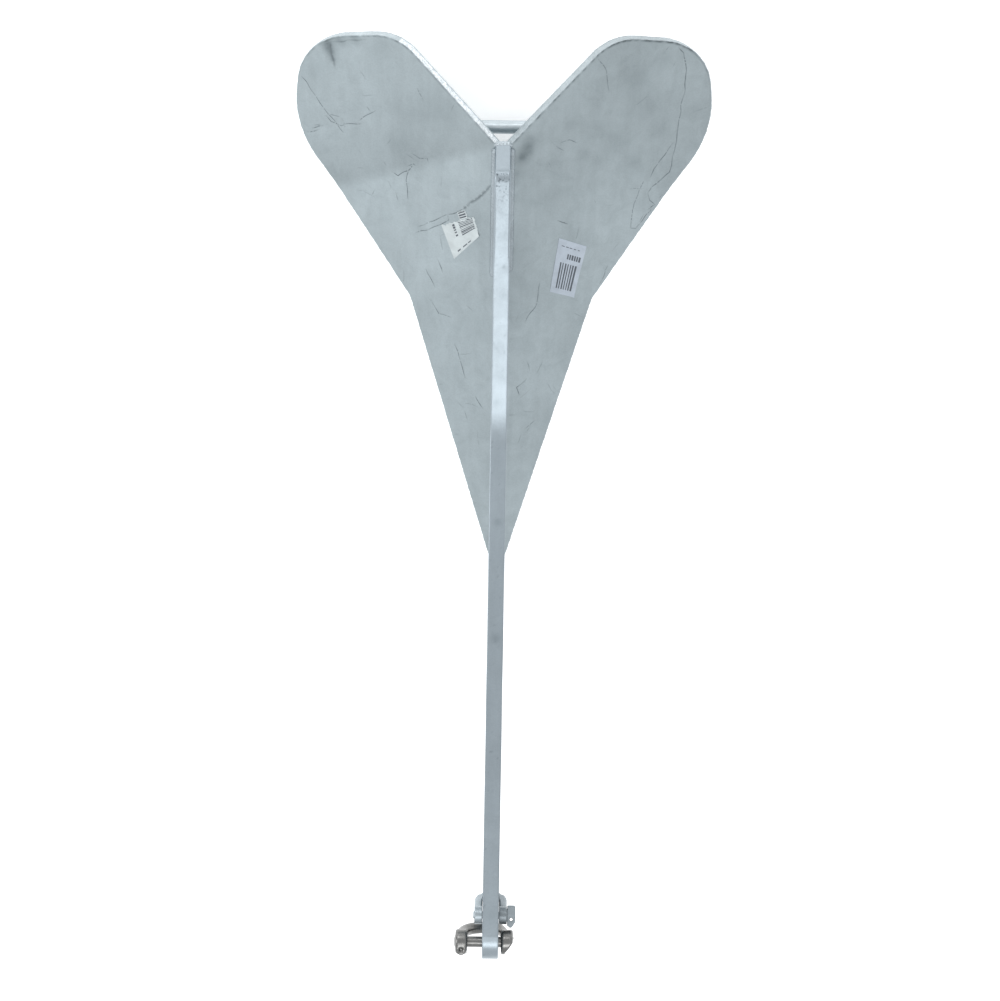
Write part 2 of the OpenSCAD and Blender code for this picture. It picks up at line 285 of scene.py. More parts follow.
def brushed_stainless(name):
    """Dull polished stainless with handling scratches; its dark base colour is a painted
    reflection of dark surroundings.
    """
    material, tree, shader = new_material(name)
    coords = object_coords(tree)
    clouds = noise_field(tree, coords, 90, 3, 0.6, 0.4)
    hairs = noise_field(tree, object_coords(tree, (1, 0.12, 0.25)), 1500, 3, 0.6)
    # Dark base colour: painted reflection of dark surroundings
    colour = ramp(tree, clouds, [(0.3, (0.15, 0.15, 0.145)), (0.7, (0.235, 0.235, 0.23))])
    colour = mix(tree, 0.6, colour, ramp(tree, hairs, [(0.35, 0.82), (0.62, 1.1)]), "MULTIPLY")
    shader.inputs["Metallic"].default_value = 1.0
    tree.links.new(colour, shader.inputs["Base Color"])
    tree.links.new(ramp(tree, clouds, [(0.3, 0.34), (0.7, 0.22)]), shader.inputs["Roughness"])
    tree.links.new(bump(tree, hairs, 0.25, 0.00012), shader.inputs["Normal"])
    return material


def sticker_paper(name, tone, gloss):
    """Coated paper with a faint fibre grain, grubby in places."""
    material, tree, shader = new_material(name)
    coords = object_coords(tree)
    grime = noise_field(tree, coords, 120, 4, 0.6, 0.5)
    fibre = noise_field(tree, object_coords(tree, (1, 0.4, 1)), 2600, 2, 0.6)
    colour = ramp(tree, grime, [(0.32, tinted(tone, 0.86)), (0.6, tone)])
    colour = mix(tree, 0.5, colour, ramp(tree, fibre, [(0.3, 0.93), (0.7, 1.03)]), "MULTIPLY")
    tree.links.new(colour, shader.inputs["Base Color"])
    tree.links.new(ramp(tree, grime, [(0.3, gloss + 0.1), (0.7, gloss)]),
                   shader.inputs["Roughness"])
    tree.links.new(bump(tree, fibre, 0.2, 0.00008), shader.inputs["Normal"])
    return material


zinc_plate = zinc("zinc_plate", (0.39, 0.447, 0.47), 0.52, painted=True)
zinc_bar = zinc("zinc_bar", (0.325, 0.375, 0.41), 0.35, painted=True, blotch=0.03, grain=0.35, relief=0.05)
# Lighter than the other zinc: a painted highlight for the rod's lit upper side
zinc_rod_highlight = zinc("zinc_rod_highlight", (0.55, 0.61, 0.64), 0.36)
zinc_weld = zinc("zinc_weld", (0.38, 0.43, 0.46), 0.46, blotch=0.12, grain=0.8)
# A lighter copy of the weld zinc: a painted highlight on the cap bead, which faces backward
zinc_cap_highlight = zinc("zinc_cap_highlight", (0.44, 0.49, 0.52), 0.4, blotch=0.12, grain=0.8)
zinc_shackle = zinc("zinc_shackle", (0.37, 0.42, 0.45), 0.4, painted=True, blotch=0.1)
stainless = brushed_stainless("stainless")
paper = sticker_paper("paper", (0.57, 0.625, 0.635), 0.45)
blue_paper = sticker_paper("blue_paper", (0.47, 0.53, 0.6), 0.45)
ink = sticker_paper("ink", (0.09, 0.105, 0.125), 0.4)


# ---------------------------------------------------------------- mesh helpers

def wave(point, scale, seed=0.0):
    """Smooth noise from -1 to 1; scale is the size of its lumps."""
    return noise.noise(Vector((point[0] / scale, point[1] / scale, point[2] / scale + seed)))


def piece_from(bm, name, body, nodes, materials, smooth=True):
    """Turns a closed bmesh in the row's frame into a piece that replaces CAD nodes."""
    bmesh.ops.recalc_face_normals(bm, faces=bm.faces)
    for face in bm.faces:
        face.smooth = smooth
    mesh = bpy.data.meshes.new(name)
    bm.to_mesh(mesh)
    bm.free()
    for material in materials:
        mesh.materials.append(material)
    piece = bpy.data.objects.new(name, mesh)
    bpy.context.scene.collection.objects.link(piece)
    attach(piece, body)
    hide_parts(*nodes)


def corner_arc(before, corner, after, radius, step):
    """Points round one corner of an outline."""
    to_before = (before - corner).normalized()
    to_after = (after - corner).normalized()
    half = to_before.angle(to_after) / 2
    centre = corner + (to_before + to_after).normalized() * radius / math.sin(half)
    spoke = corner + to_before * radius / math.tan(half) - centre
    end = corner + to_after * radius / math.tan(half) - centre
    sweep = math.copysign(math.pi - 2 * half, spoke.x * end.y - spoke.y * end.x)
    count = max(3, round(radius * abs(sweep) / step))
    return [centre + Matrix.Rotation(sweep * i / count, 2) @ spoke for i in range(count + 1)]


def outline(corners, step):
    """Closed outline through (x, y, corner radius) corners, with a point about every step."""
    places = [Vector((x, y)) for x, y, radius in corners]
    bends = []
    for i, (x, y, radius) in enumerate(corners):
        after = places[(i + 1) % len(places)]
        bends += corner_arc(places[i - 1], places[i], after, radius, step) if radius else [places[i]]
    points = []
    for a, b in zip(bends, bends[1:] + bends[:1]):
        count = max(1, round((b - a).length / step))
        points += [a.lerp(b, k / count) for k in range(count)]
    return points


def circle(centre, radius, count):
    """Clockwise, so that the metal is outside it."""
    return [Vector((centre[0] + radius * math.cos(-math.tau * i / count),
                    centre[1] + radius * math.sin(-math.tau * i / count))) for i in range(count)]


def inward(loop):
    """Unit normals of a loop that point into the metal of an anticlockwise outline."""
    area = sum(a.x * b.y - a.y * b.x for a, b in zip(loop, loop[1:] + loop[:1]))
    turn = 1 if area > 0 else -1
    normals = []
    for i, point in enumerate(loop):
        along = (loop[(i + 1) % len(loop)] - loop[i - 1]).normalized()
        normals.append(Vector((-along.y, along.x)) * turn)
    return normals


def rim_profile(thickness, radius, step):
    """(inset, depth) steps round an edge, from the upper face to the lower one."""
    quarter = [(radius * (1 - math.sin(t)), radius * (1 - math.cos(t)))
               for t in (math.radians(angle) for angle in (0, 30, 60, 90))]
    flat = max(1, round((thickness - 2 * radius) / step))
    wall = [(0, radius + (thickness - 2 * radius) * i / flat) for i in range(1, flat)]
    upper = [(2.5 * radius, 0)] + quarter
    return upper + wall + [(inset, thickness - depth) for inset, depth in reversed(upper)]


def inside(point, loop):
    """True inside a closed outline, by counting the edges crossed to the right."""
    hit = False
    for a, b in zip(loop, loop[1:] + loop[:1]):
        if (a.y > point.y) != (b.y > point.y):
            if point.x < a.x + (b.x - a.x) * (point.y - a.y) / (b.y - a.y):
                hit = not hit
    return hit


def fill_face(bm, rims, grid, extra, depth):
    """Triangles across a face between its rims, through a loose grid and extra points."""
    points = [Vector(vert.co.xy) for rim in rims for vert in rim]
    edges = []
    start = 0
    for rim in rims:
        edges += [(start + i, start + (i + 1) % len(rim)) for i in range(len(rim))]
        start += len(rim)
    loops = [[Vector(vert.co.xy) for vert in rim] for rim in rims]
    xs = [point.x for point in loops[0]]
    ys = [point.y for point in loops[0]]
    coarse = loops[0][::3]
    dice = random.Random(7)
    loose = []
    y = min(ys)
    while y < max(ys):
        x = min(xs)
        while x < max(xs):
            point = Vector((x + dice.uniform(-0.2, 0.2) * grid, y + dice.uniform(-0.2, 0.2) * grid))
            if inside(point, coarse):
                loose.append(point)
            x += grid
        y += grid
    loose += [point for point in extra if inside(point, coarse)]
    new_verts = [bm.verts.new((point.x, point.y, -depth)) for point in loose]
    verts = [vert for rim in rims for vert in rim] + new_verts
    result = delaunay_2d_cdt(points + loose, edges, [], 1, 1e-5)
    origin = [ids[0] if ids else None for ids in result[3]]
    for triangle in result[2]:
        corners = [origin[i] for i in triangle]
        middle = sum((result[0][i] for i in triangle), Vector((0, 0))) / 3
        if None in corners or len(set(corners)) < 3 or any(inside(middle, hole) for hole in loops[1:]):
            continue
        bm.faces.new([verts[i] for i in corners])
    for vert in new_verts:
        if not vert.link_faces:
            bm.verts.remove(vert)


def slab(edge, thickness, radius, grid, holes=(), extra=(), rough_rim=0.0, wall_step=2.0,
         swell=lambda point: 1.0):
    """Flat piece from z = 0 down to -thickness, with rounded rims and a few extra points; swell
    scales the rounding at a point of the outline."""
    bm = bmesh.new()
    rim_shade = bm.verts.layers.float.new("rim_shade")
    tops = []
    bottoms = []
    for loop, roughness in [(edge, rough_rim)] + [(hole, 0.0) for hole in holes]:
        is_hole = loop is not edge
        normals = inward(loop)
        if is_hole:
            normals = [-normal for normal in normals]
        rings = []
        for inset, depth in rim_profile(thickness, radius, wall_step):
            ring = []
            for point, normal in zip(loop, normals):
                chip = roughness * wave((*point, depth), 2.6) * (1 if inset < 1.5 * radius else 0)
                spot = point + normal * (inset * swell(point) + chip)
                fall = depth
                if depth <= radius:
                    fall = depth * swell(point)
                elif depth >= thickness - radius:
                    fall = thickness - (thickness - depth) * swell(point)
                vert = bm.verts.new((spot.x, spot.y, -fall))
                # Painted shade along the top of the rounding of edges that face backward
                on_rim_shade = inset <= radius and depth < 0.2 * radius
                vert[rim_shade] = max(0.0, -normal.y) if on_rim_shade else 0.0
                ring.append(vert)
            rings.append(ring)
        for upper, lower in zip(rings, rings[1:]):
            for i in range(len(upper)):
                j = (i + 1) % len(upper)
                bm.faces.new((upper[i], upper[j], lower[j], lower[i]))
        tops.append(rings[0])
        bottoms.append(rings[-1])
    fill_face(bm, tops, grid, extra, 0)
    fill_face(bm, bottoms, grid * 1.5, (), thickness)
    return bm


def bead(bm, path, normals, width, height, pitch, seed=0.0, sides=14, matrix=Matrix()):
    """Weld bead along path, humped towards normals, rippled in overlapping crescents; width is
    half its breadth and pitch the spacing of its ripples."""
    lengths = [0.0]
    for a, b in zip(path, path[1:]):
        lengths.append(lengths[-1] + (b - a).length)
    closed = (path[0] - path[-1]).length < 1e-6
    rings = []
    last = len(path) - 1
    for i, (point, normal) in enumerate(zip(path, normals)):
        along = (path[min(i + 1, last)] - path[max(i - 1, 0)]).normalized()
        if closed and i in (0, last):
            along = (path[1] - path[last - 1]).normalized()
        across = along.cross(normal).normalized()
        end = min(lengths[i], lengths[-1] - lengths[i])
        swell = 1.0 if closed else math.sqrt(max(0.0, 1 - (1 - min(1.0, end / (width * 1.3))) ** 2))
        ring = []
        for k in range(sides):
            angle = math.tau * k / sides
            phase = lengths[i] / pitch - 0.55 * math.sin(angle) ** 2
            ripple = 1 + 0.085 * math.sin(math.tau * phase) + 0.05 * wave(point, 3.1, seed)
            low = 0.55 if math.cos(angle) < 0 else 1.0
            spot = (point + across * (math.sin(angle) * width * ripple * swell)
                    + normal * (math.cos(angle) * height * ripple * low * swell)
                    + along * (0.3 * wave(point + across * math.sin(angle), 1.7, seed + 5)))
            ring.append(bm.verts.new(matrix @ spot))
        rings.append(ring)
    if closed:
        for vert in rings.pop():
            bm.verts.remove(vert)
        rings.append(rings[0])
    for a, b in zip(rings, rings[1:]):
        for k in range(sides):
            m = (k + 1) % sides
            bm.faces.new((a[k], a[m], b[m], b[k]))
    if not closed:
        bm.faces.new(rings[0])
        bm.faces.new(reversed(rings[-1]))


def straight(start, end, step):
    count = max(2, round((end - start).length / step))
    return [start.lerp(end, i / count) for i in range(count + 1)]


# ---------------------------------------------------------------- fluke plates

# Scratches on each plate, as x, y points in its face, mm; each is one stroke
SCRATCHES = {
    -1: [[(155, 39), (138, 14), (124, -3)], [(137, 9), (134, 5), (126, 3), (122, 5), (110, 7)],
         [(111, 10), (107, 13), (100, 19)], [(105, 22), (103, 19)], [(135, 11), (127, 10)],
         [(125, 8), (123, 2)], [(152, -6), (146, -4)], [(149, -2), (142, 0)], [(146, 1), (140, 1)],
         [(71, -12), (64, -15), (59, -13), (58, -16)],
         [(87, -30), (83, -32), (78, -27), (73, -25), (70, -20), (75, -22)],
         [(74, -26), (76, -34), (74, -50)], [(90, -39), (89, -42)], [(84, -47), (83, -51)],
         [(93, -22), (92, -24)], [(108, 48), (106, 45)], [(65, 42), (62, 34)],
         [(66, -70), (55, -65), (43, -57), (36, -54), (30, -50)],
         [(68, -76), (55, -70), (47, -65.5), (41.6, -61), (42.8, -56.7)], [(60, -105), (53, -118)],
         [(50, -96), (47, -104)], [(56, -131), (50, -140), (40, -142)], [(36, -165), (28, -190)],
         [(20, -205), (14, -214)]],
    1: [[(131, 71), (135, 66), (138, 52), (138, 36), (133, -20), (131, -32), (119, -42), (115, -47)],
        [(131, -9), (119, -28), (116, -35)],
        [(111, -37), (103, -60), (103, -75), (106, -76), (114, -66), (119, -61)],
        [(115, -48), (117, -54), (121, -57), (116, -61)], [(140, -39), (131, -47), (125, -52)],
        [(44, 3), (50, 4), (56, 2)], [(70, 68), (76, 57), (79, 42)], [(109, -70), (112, -66)],
        [(31, -110), (28, -128), (20, -140)], [(85, -104), (78, -120)],
        [(22, -190), (14, -196), (16, -203)], [(29, -228), (22, -233)], [(44, -60), (52, -64)]]}
# Broader soft strokes, as half width, strength and points
SMUDGES = {-1: [(1.8, 0.85, [(34, -53), (23, -43.5), (16, -36), (8, -27)]),
                (1.6, 0.6, [(132, 70), (131, 63), (130, 57), (129, 50)]),
                (0.8, 0.5, [(134, 68), (126, 71), (116, 73.5), (104, 75.5)])],
           1: [(0.9, 0.4, [(118, -60), (112, -76)])]}
# Soft stains, as x, y, radius and strength
STAINS = {
    -1: [(134, 69, 5, 1.0), (132, 62, 3.5, 1.0), (130, 56, 2.4, 0.8), (124, 73, 5, 0.7),
         (112, 75, 5, 0.5), (68, 26, 15, 0.22), (80, -6, 11, 0.25), (46, 28, 12, 0.25),
         (92, 74, 10, 0.25), (146, 46, 9, 0.25), (20, -60, 10, 0.2),
         (14, -150, 9, 0.15), (100, -20, 18, 0.1)],
    1: [(20.6, 6, 5, 0.9), (18, -1, 5, 0.9), (13.5, -7, 4.5, 0.8), (12, -18, 4, 0.45),
        (99, 50, 10, 0.35), (106, 27, 14, 0.2), (72, 10, 9, 0.25), (88, -3, 10, 0.35),
        (101, -20, 8, 0.3), (52, 17, 5, 0.3), (62, -9, 6, 0.3), (74, -16, 6, 0.25), (121, 5, 9, 0.2),
        (120, 62, 8, 0.2), (40, -40, 14, 0.12), (20, -112, 9, 0.15)]}
# Ground stretches of the flank near its corner, as x, y, radius and strength
GROUND = {-1: [(84, -108, 7, 0.9), (90, -98, 6, 0.8), (77, -122, 5, 0.6)],
          1: [(106, -62, 7, 0.6), (97, -84, 7, 0.8), (88, -102, 6, 0.8), (80, -118, 5, 0.7)]}
NOTCH_REACH = 78                # Outward end of the plates' rear edges beside the shank
NOTCH_BARE_AND_HIGHLIGHT = {-1: 0.8, 1: 0.15}  # Bright metal on those edges, plus a painted highlight on the left plate's
EDGE_BARE = 0.15                # Bright metal on the other edges
RIM_SHADE = {-1: 0.6, 1: 1.0}    # Painted shade: a dark line along the rounding of the rearward edges
# Painted light and shade, as gains on the tone, standing in for the bend's reflection: of the
# far lobe, of the lobe and of the front at the crease, and of the far front
PAINTED_LIGHT = {-1: (0.08, -0.12, 0.08, 0.03), 1: (-0.08, 0.0, -0.04, 0.03)}
PAINTED_LIGHT_FADE = 32                 # How far the painted light and shade at the crease reaches
CREASE_SOFT = 9                 # Width of the step in painted light and shade at the crease
CREASE_ROUND = 7                # Rounding of the bend
SCRATCH_W = 0.55                # Half the width of a scratch
SCRATCH_DEPTH = 0.1
SMALL_SCRATCHES = 26            # On each plate


def stroke_points(stroke, side):
    """Evenly spaced points of one scratch, with a slight wander."""
    points = []
    for a, b in zip(stroke, stroke[1:]):
        a, b = Vector(a), Vector(b)
        count = max(2, round((b - a).length / 1.2))
        points += [a.lerp(b, i / count) for i in range(count)]
    points.append(Vector(stroke[-1]))
    return [point + Vector((wave((*point, 3), 9), wave((*point, 8), 9))) * 1.3 * side
            for point in points]


def handling_scratches(side, count):
    """Short random strokes, more of them towards the lobes."""
    dice = random.Random(30 + side)
    strokes = []
    for _ in range(count):
        y = dice.uniform(-250, 70)
        x = dice.uniform(12, max(20, 150 + y * 0.45 if y < 0 else 150))
        heading = dice.uniform(0, math.pi)
        length = dice.uniform(3, 11)
        strokes.append([(x, y), (x + length * math.cos(heading), y + length * math.sin(heading))])
    return strokes


def behind_crease(x, y):
    """Distance of a point of the plate's face behind the crease."""
    sweep = math.radians(CREASE_SWEEP)
    return x * math.sin(sweep) + (y - CREASE_BACK) * math.cos(sweep)


def painted_light_at(side, x, y):
    """Broad painted light and shade, for the bent plate's reflection: it steps at the crease
    and fades away from it on both sides.
    """
    behind = behind_crease(x, y)
    fade = 1 - math.exp(-abs(behind) / PAINTED_LIGHT_FADE)
    lobe, lobe_foot, front_head, front = PAINTED_LIGHT[side]
    lobe_tone = lobe_foot + (lobe - lobe_foot) * fade
    front_tone = front_head + (front - front_head) * fade
    share = min(1.0, max(0.0, 0.5 + behind / CREASE_SOFT))
    return front_tone + (lobe_tone - front_tone) * share


def crease_points():
    """Rows of points along the crease, so that its bend and its painted light and shade stay
    straight.
    """
    slope = math.tan(math.radians(CREASE_SWEEP))
    offsets = (-CREASE_SOFT / 2, 0, CREASE_SOFT / 2)
    return [Vector((x, CREASE_BACK - x * slope + offset)) for x in range(4, 160, 2) for offset in offsets]


def lobe_rise(x, y):
    """Height of the bent lobe behind the crease, rounded along it."""
    behind = behind_crease(x, y)
    rounded = 0.5 * (behind + math.hypot(behind, CREASE_ROUND) - 1.8)
    return rounded * math.tan(math.radians(LOBE_BEND))


def blobs(spots, x, y):
    """Strength at x, y of soft round spots, each (x, y, radius, strength)."""
    return sum(strength * math.exp(-((x - cx) ** 2 + (y - cy) ** 2) / radius ** 2)
               for cx, cy, radius, strength in spots)


def trace_strokes(side):
    """Points that give the plate's mesh its strokes, and the strength of each stroke's middle."""
    strokes = [(SCRATCH_W, 1.0, points) for points in SCRATCHES[side]] + SMUDGES[side]
    strokes += [(SCRATCH_W, 0.5, points) for points in handling_scratches(side, SMALL_SCRATCHES)]
    traced = []
    marks = {}
    for half_width, strength, corners in strokes:
        points = stroke_points(corners, side)
        last = len(points) - 1
        for i, point in enumerate(points):
            ahead = points[min(i + 1, last)] - points[max(i - 1, 0)]
            across = Vector((-ahead.y, ahead.x)).normalized() * half_width
            traced += [point, point + across, point - across]
            fade = min(1.0, 0.35 + min(i, last - i) * 0.3)
            broken = 0.75 + 0.6 * wave((*point, 1), 5)
            marks[(round(point.x, 3), round(point.y, 3))] = max(0, min(1, strength * fade * broken))
    return traced, marks


def paint_and_bend(bm, side, marks):
    """Writes the plate's vertex fields, bends its lobe and makes its faces slightly uneven."""
    mark = bm.verts.layers.float.new("mark")
    smear = bm.verts.layers.float.new("smear")
    bare_and_highlight = bm.verts.layers.float.new("bare_and_highlight")
    painted_light = bm.verts.layers.float.new("painted_light")
    rim_shade = bm.verts.layers.float["rim_shade"]
    for vert in bm.verts:
        x, y, z = vert.co
        # Painted light and shade, stepping at the crease
        vert[painted_light] = painted_light_at(side, x, y)
        on_upper_face = z > -0.01
        if on_upper_face:
            vert[mark] = marks.get((round(x, 3), round(y, 3)), 0.0)
            vert[smear] = min(1, blobs(STAINS[side], x, y) * (1 + 0.5 * wave((x, y, 0), 6)))
        broken = 0.8 + 0.9 * wave((x, y, side), 3)
        # Painted shade along the rearward rims joins the scratches in the same field
        vert[mark] = max(vert[mark], min(1, RIM_SHADE[side] * vert[rim_shade] * broken))
        on_edge = -PLATE_T + 1 < z < -0.3
        if on_edge:
            in_notch = y > -4 and x < NOTCH_REACH
            # Ground or cut metal; on the left plate's rear edges beside the shank, a painted highlight too
            shine = NOTCH_BARE_AND_HIGHLIGHT[side] if in_notch else max(EDGE_BARE, blobs(GROUND[side], x, y))
            vert[bare_and_highlight] = min(1, shine * (1 + 0.7 * wave((x, y, z), 2)))
        vert.co.z += (lobe_rise(x, y) + 0.14 * wave((x, y, side), 42) + 0.05 * wave((x, y, side), 13)
                      - SCRATCH_DEPTH * vert[mark])


def make_plate(side):
    """Plate drawn a little past the ridge, then cut off in the anchor's middle plane."""
    past_ridge = -6
    slope = PLATE_CORNERS[1][1] / PLATE_CORNERS[1][0]
    corners = [(past_ridge, past_ridge * slope, 0)] + PLATE_CORNERS[1:-1]
    corners.append((past_ridge, -RIDGE_LEN, 0))
    traced, marks = trace_strokes(side)
    bm = slab(outline(corners, 1.3), PLATE_T, 0.9, 3.0, extra=crease_points() + traced, rough_rim=0.35)
    paint_and_bend(bm, side, marks)
    bmesh.ops.transform(bm, matrix=PLATES[side], verts=bm.verts)
    cut = bmesh.ops.bisect_plane(bm, geom=bm.verts[:] + bm.edges[:] + bm.faces[:], dist=1e-7,
                                 plane_co=(0, 0, 0), plane_no=(-side, 0, 0), clear_outer=True)
    seam = [edge for edge in cut["geom_cut"] if isinstance(edge, bmesh.types.BMEdge)]
    bmesh.ops.holes_fill(bm, edges=seam, sides=0)
    name = SIDES[side]
    piece_from(bm, f"{name}_plate", "anchor", [f"{name}_fluke_plate"], [zinc_plate])


for side in SIDES:
    make_plate(side)


# ---------------------------------------------------------------- shank

SHANK = basis(-arm_forward, arm_up, side_axis, ridge_rear + side_axis * SHANK_T / 2 * MM, MM)
END_HOLE_R = 4.75
REAR_HOLE_R = 3.5
WELDED_LEN = 84                 # Stretch of the shank beside the weld beads
KNEE = 20                       # Just past the corner where the top edge turns towards the arm
END_HIGHLIGHT_START = 577                  # Start of the painted highlight on the shank's rounded end
FLAT_HALF = 5.3                 # Half the width of the top edge between its roundings
# Stains on the top edge, as x, place across it, radius and strength
SHANK_SPOTS = [(-270, 0.5, 3, 0.5), (-84, 1.9, 1.2, 1.0), (-356, 1, 4, 0.5), (-30, 22, 4, 0.35),
               (-105, 2, 3, 0.3), (-182, -2, 3, 0.35), (-560, 1, 6, 0.3)]


def ground_edge(point):
    """The top edges are ground rounder beside the weld beads."""
    forward = -point.x
    return 1 + 1.7 * min(1.0, max(0.0, (WELDED_LEN - forward) / 12))


def arm_painted_light(forward):
    """Painted shade darkens the arm towards its end; a painted highlight lightens the rounded end."""
    return 0.05 if forward >= END_HIGHLIGHT_START else -0.2 * min(1.0, max(0.0, (forward - 230) / 220))


def make_shank():
    corners = [(-forward, up, radius) for forward, up, radius in SHANK_CORNERS]
    holes = [circle((-END_HOLE_REACH, -ARM_MID_DROP), END_HOLE_R, 48),
             circle((-REAR_HOLE_REACH, -ARM_MID_DROP), REAR_HOLE_R, 40)]
    bm = slab(outline(corners, 1.2), SHANK_T, 0.5, 3.5, holes=holes, rough_rim=0.03, wall_step=1.1,
              swell=ground_edge)
    mark = bm.verts.layers.float.new("mark")
    smear = bm.verts.layers.float.new("smear")
    speck = bm.verts.layers.float.new("speck")
    painted_light = bm.verts.layers.float.new("painted_light")
    for vert in bm.verts:
        x, y, z = vert.co
        across = z + SHANK_T / 2
        on_top_edge = abs(across) < FLAT_HALF and y > -ARM_DROP - 2
        if on_top_edge:
            vert[smear] = min(1, blobs(SHANK_SPOTS, x, across))
            past_knee = -x - KNEE
            vert[speck] = math.exp(-max(0.0, past_knee) / 11) if past_knee > -4 else 0.0
        vert[mark] = max(0.0, wave((x, y, z), 1.9, 40) - 0.52) * 1.2
        # Painted shade along the arm and a painted highlight on its end
        vert[painted_light] = arm_painted_light(-x)
        vert.co.z += 0.1 * wave((x, y, 2), 38) if abs(across) > 5.5 else 0.0
    bmesh.ops.transform(bm, matrix=SHANK, verts=bm.verts)
    piece_from(bm, "shank_bar", "anchor", ["shank"], [zinc_bar])


make_shank()


# ---------------------------------------------------------------- welds

WELD_STEP = 0.45
SHANK_BEAD_LEN = {-1: 102, 1: 97}
CAP_BEADS = [(5.2, 0.6, 3.3, 3.2, 3), (6.2, -5.6, 2.9, 2.4, 4)]   # back, up, half width, height, seed
BRACE_POINTS = 90               # Round each end of the rod
droop = math.radians(PLATE_DROOP)


def make_shank_welds():
    """Fillets between the shank's sides and the plates, and the cap of two beads across its
    rear end."""
    for side, name in SIDES.items():
        x = SHANK_T / 2
        lean = Vector((side * (1 + math.sin(droop)), 0, math.cos(droop))).normalized()
        root = Vector((side * x, 0, -x * math.tan(droop))) + lean * 0.7
        end = root + Vector((0, -SHANK_BEAD_LEN[side], 0))
        path = straight(root + Vector((0, 3, 0)), end, WELD_STEP)
        bm = bmesh.new()
        bead(bm, path, [lean] * len(path), width=2.7, height=1.9, pitch=2.5, seed=side, matrix=RIDGE)
        piece_from(bm, f"{name}_shank_bead", "anchor", [f"shank_weld_{name}"],
                   [zinc_weld])
    reach = SHANK_T / 2 + 0.8
    bm = bmesh.new()
    for back, up, half_width, height, seed in CAP_BEADS:
        path = straight(Vector((-reach, back, up)), Vector((reach, back, up)), WELD_STEP)
        bead(bm, path, [Vector((0, 0.5, 0.85))] * len(path), half_width, height, pitch=2.6, seed=seed,
             matrix=ARM)
    piece_from(bm, "shank_cap_bead", "anchor", ["shank_rear_weld"], [zinc_cap_highlight])


def make_ridge_welds():
    """The bead along the ridge forward of the shank, and the one in the corner under it."""
    path = straight(Vector((0, -118, -0.4)), Vector((0, -355, -0.4)), WELD_STEP)
    bm = bmesh.new()
    bead(bm, path, [Vector((0, 0, 1))] * len(path), width=4.0, height=1.5, pitch=3.0, seed=11,
         matrix=RIDGE)
    piece_from(bm, "ridge_bead", "anchor", ["ridge_weld"], [zinc_weld])
    root = -PLATE_T / math.cos(droop) - 0.3
    path = straight(Vector((0, -14, root)), Vector((0, -236, root)), WELD_STEP)
    bm = bmesh.new()
    bead(bm, path, [Vector((0, 0, -1))] * len(path), width=5.2, height=2.0, pitch=3.2, seed=12,
         matrix=RIDGE)
    piece_from(bm, "inner_ridge_bead", "anchor", ["inner_ridge_weld"], [zinc_weld])


def rod_foot(side, angle):
    """Where a line along the brace rod's surface meets the lobe's lower face, by bisection."""
    to_plate = PLATES[side].inverted() @ ARM
    near, far = 40.0, 130.0
    for _ in range(30):
        x = (near + far) / 2
        spot = Vector((side * x, BRACE_BACK + BRACE_D / 2 * math.cos(angle),
                       -BRACE_DROP + BRACE_D / 2 * math.sin(angle)))
        local = to_plate @ spot
        if local.z < lobe_rise(local.x, local.y) - PLATE_T:
            near = x
        else:
            far = x
    return spot


def make_brace_welds():
    """A bead round each end of the rod, where it meets the lobe's lower face."""
    angles = [math.tau * i / BRACE_POINTS for i in range(BRACE_POINTS + 1)]
    for side, name in SIDES.items():
        path = [rod_foot(side, angle) for angle in angles]
        path[-1] = path[0].copy()
        downward = (ARM.to_3x3().inverted() @ PLATES[side].to_3x3() @ Vector((0, 0, -1))).normalized()
        normals = [(Vector((0, math.cos(angle), math.sin(angle))) + downward).normalized()
                   for angle in angles]
        path = [spot + normal * 0.8 for spot, normal in zip(path, normals)]
        bm = bmesh.new()
        bead(bm, path, normals, width=2.6, height=2.0, pitch=2.4, seed=20 + side, matrix=ARM)
        piece_from(bm, f"{name}_brace_bead", "anchor", [f"brace_weld_{name}"],
                   [zinc_weld])


make_shank_welds()
make_ridge_welds()
make_brace_welds()


# ---------------------------------------------------------------- shackles

REAR_LEG_X = 9.15               # Middle of each leg of the rear shackle
REAR_LEG_R = 2.75
RIGHT_EYE = (8.3, 16.5)         # Inner and outer face of the end shackle's right eye
SLANT_START = 3.7               # Behind the end pin's axis
SLANT = 0.6                     # Narrowing for each millimetre further forward
SHADED_HALF_GAIN = -0.35                    # Painted shade: gain on the tone of one half of the rear shackle


def flatten_inner_side(point):
    """Squares the inner half of the rear shackle's legs, so that they lie along the shank."""
    share = (REAR_LEG_X * MM - abs(point.x)) / (REAR_LEG_R * MM)
    if 0 < share <= 1.1:
        reach = REAR_LEG_X - (REAR_LEG_R + 0.2) * min(1.0, share ** 0.4)
        point.x = math.copysign(reach * MM, point.x)


def slant_right_eye(point):
    """Narrows the end shackle's right eye towards the shank's end, from behind its pin."""
    inner, outer = RIGHT_EYE
    past = (END_PIN.y + SLANT_START * MM - point.y) / MM
    if point.x > inner * MM and past > 0:
        kept = max(0.35, 1 - SLANT * past / (outer - inner))
        point.x = (inner + (point.x / MM - inner) * kept) * MM


